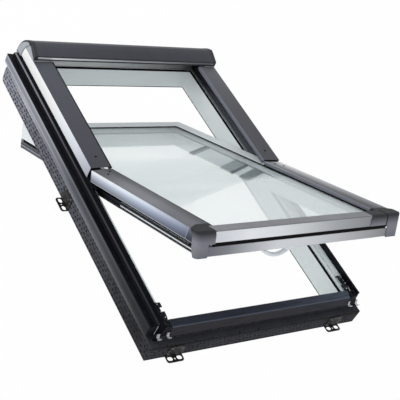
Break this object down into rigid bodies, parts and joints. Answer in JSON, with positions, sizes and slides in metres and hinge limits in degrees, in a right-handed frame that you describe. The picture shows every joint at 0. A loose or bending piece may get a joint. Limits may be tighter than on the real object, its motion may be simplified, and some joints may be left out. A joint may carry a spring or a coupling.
{
  "type": "roof skylight",
  "caption": "Centre-pivot roof window: fixed frame with insulation collar, metal hood and covers, and a double glazed sash that swings about a level axis.",
  "frame": {"origin": "middle of the four bracket screw holes at the frame's ends, on the underside of the brackets, where they lie on the battens", "axes": "+X to the right across the roof, +Y up the roof slope, +Z out of the roof, square to the frame"},
  "size_m": [0.838, 1.219, 0.6066],
  "materials": {
    "white_pvc": "satin",
    "foam": "matt, beaded",
    "black_plastic": "matt",
    "sill_metal": "satin",
    "rubber_seal": "matt",
    "anthracite_cover": "metallic satin",
    "cap_plastic": "satin",
    "hood_rim": "metallic satin",
    "hood_facet": "grained satin",
    "bright_aluminium": "cross brushed",
    "carrier_metal": "mill",
    "hardware_steel": "plain",
    "black_hardware": "satin",
    "pane": "clear",
    "white_handle": "satin"
  },
  "bodies": {
    "frame": {"frame_side_left": "white_pvc", "frame_side_right": "white_pvc", "frame_top": "white_pvc", "frame_bottom": "white_pvc", "sill_cover": "sill_metal", "corner_pieces": "black_plastic", "corner_clips": "hardware_steel", "side_rail_left": "black_plastic", "side_rail_right": "black_plastic", "frame_gasket": "rubber_seal", "collar_left": "foam", "collar_right": "foam", "collar_top": "foam", "collar_bottom": "foam", "cover_carrier_left": "carrier_metal", "cover_carrier_right": "carrier_metal", "upper_cover_left": "anthracite_cover", "upper_cover_right": "anthracite_cover", "upper_side_left": "bright_aluminium", "upper_side_right": "bright_aluminium", "hood_cover": "anthracite_cover", "hood_lip": "bright_aluminium", "hood_cap_left": "hood_rim", "hood_cap_right": "hood_rim", "hood_cheek_left": "hood_facet", "hood_cheek_right": "hood_facet", "hinge_guide_left": "hardware_steel", "hinge_guide_right": "hardware_steel", "striker_left": "black_hardware", "striker_right": "black_hardware", "end_brackets": "black_hardware", "side_brackets": "black_hardware", "frame_screws": "hardware_steel"},
    "sash": {"sash_side_left": "white_pvc", "sash_side_right": "white_pvc", "sash_top_rail": "white_pvc", "sash_bottom_rail": "white_pvc", "outer_pane": "pane", "inner_pane": "pane", "spacer_frame": "carrier_metal", "glazing_gasket": "rubber_seal", "lower_cover_left": "anthracite_cover", "lower_cover_right": "anthracite_cover", "lower_side_left": "bright_aluminium", "lower_side_right": "bright_aluminium", "overlap_rail_left": "carrier_metal", "overlap_rail_right": "carrier_metal", "end_cap_left": "cap_plastic", "end_cap_right": "cap_plastic", "rail_top_strip": "anthracite_cover", "rail_front_strip": "bright_aluminium", "rail_seal": "rubber_seal", "apron_rail": "bright_aluminium", "hinge_shoe_left": "hardware_steel", "hinge_shoe_right": "hardware_steel", "handle_base": "white_handle", "sash_screws": "hardware_steel"},
    "lock_rod_left": {"lock_rod_left": "hardware_steel"},
    "lock_rod_right": {"lock_rod_right": "hardware_steel"},
    "handle": {"handle": "white_handle"}
  },
  "joints": [
    {"name": "sash_pivot", "type": "hinge", "parent": "frame", "child": "sash", "pos_m": [0, -0.0112, 0.1616], "axis": [-1, 0, 0], "range_deg": [-28.1, 116.9]},
    {"name": "handle_turn", "type": "hinge", "parent": "sash", "child": "handle", "pos_m": [0, -0.49425, 0.30786], "axis": [0, -0.471, -0.8821], "range_deg": [0, 90]},
    {"name": "lock_left", "type": "slide", "parent": "sash", "child": "lock_rod_left", "axis": [0, 0.8821, -0.471], "range_m": [0, 0.018]},
    {"name": "lock_right", "type": "slide", "parent": "sash", "child": "lock_rod_right", "axis": [0, 0.8821, -0.471], "range_m": [0, 0.018]}
  ],
  "couplings": [
    {"joint": "lock_left", "follows": "handle_turn", "m_per_rad": 0.01145},
    {"joint": "lock_right", "follows": "handle_turn", "m_per_rad": 0.01145}
  ]
}
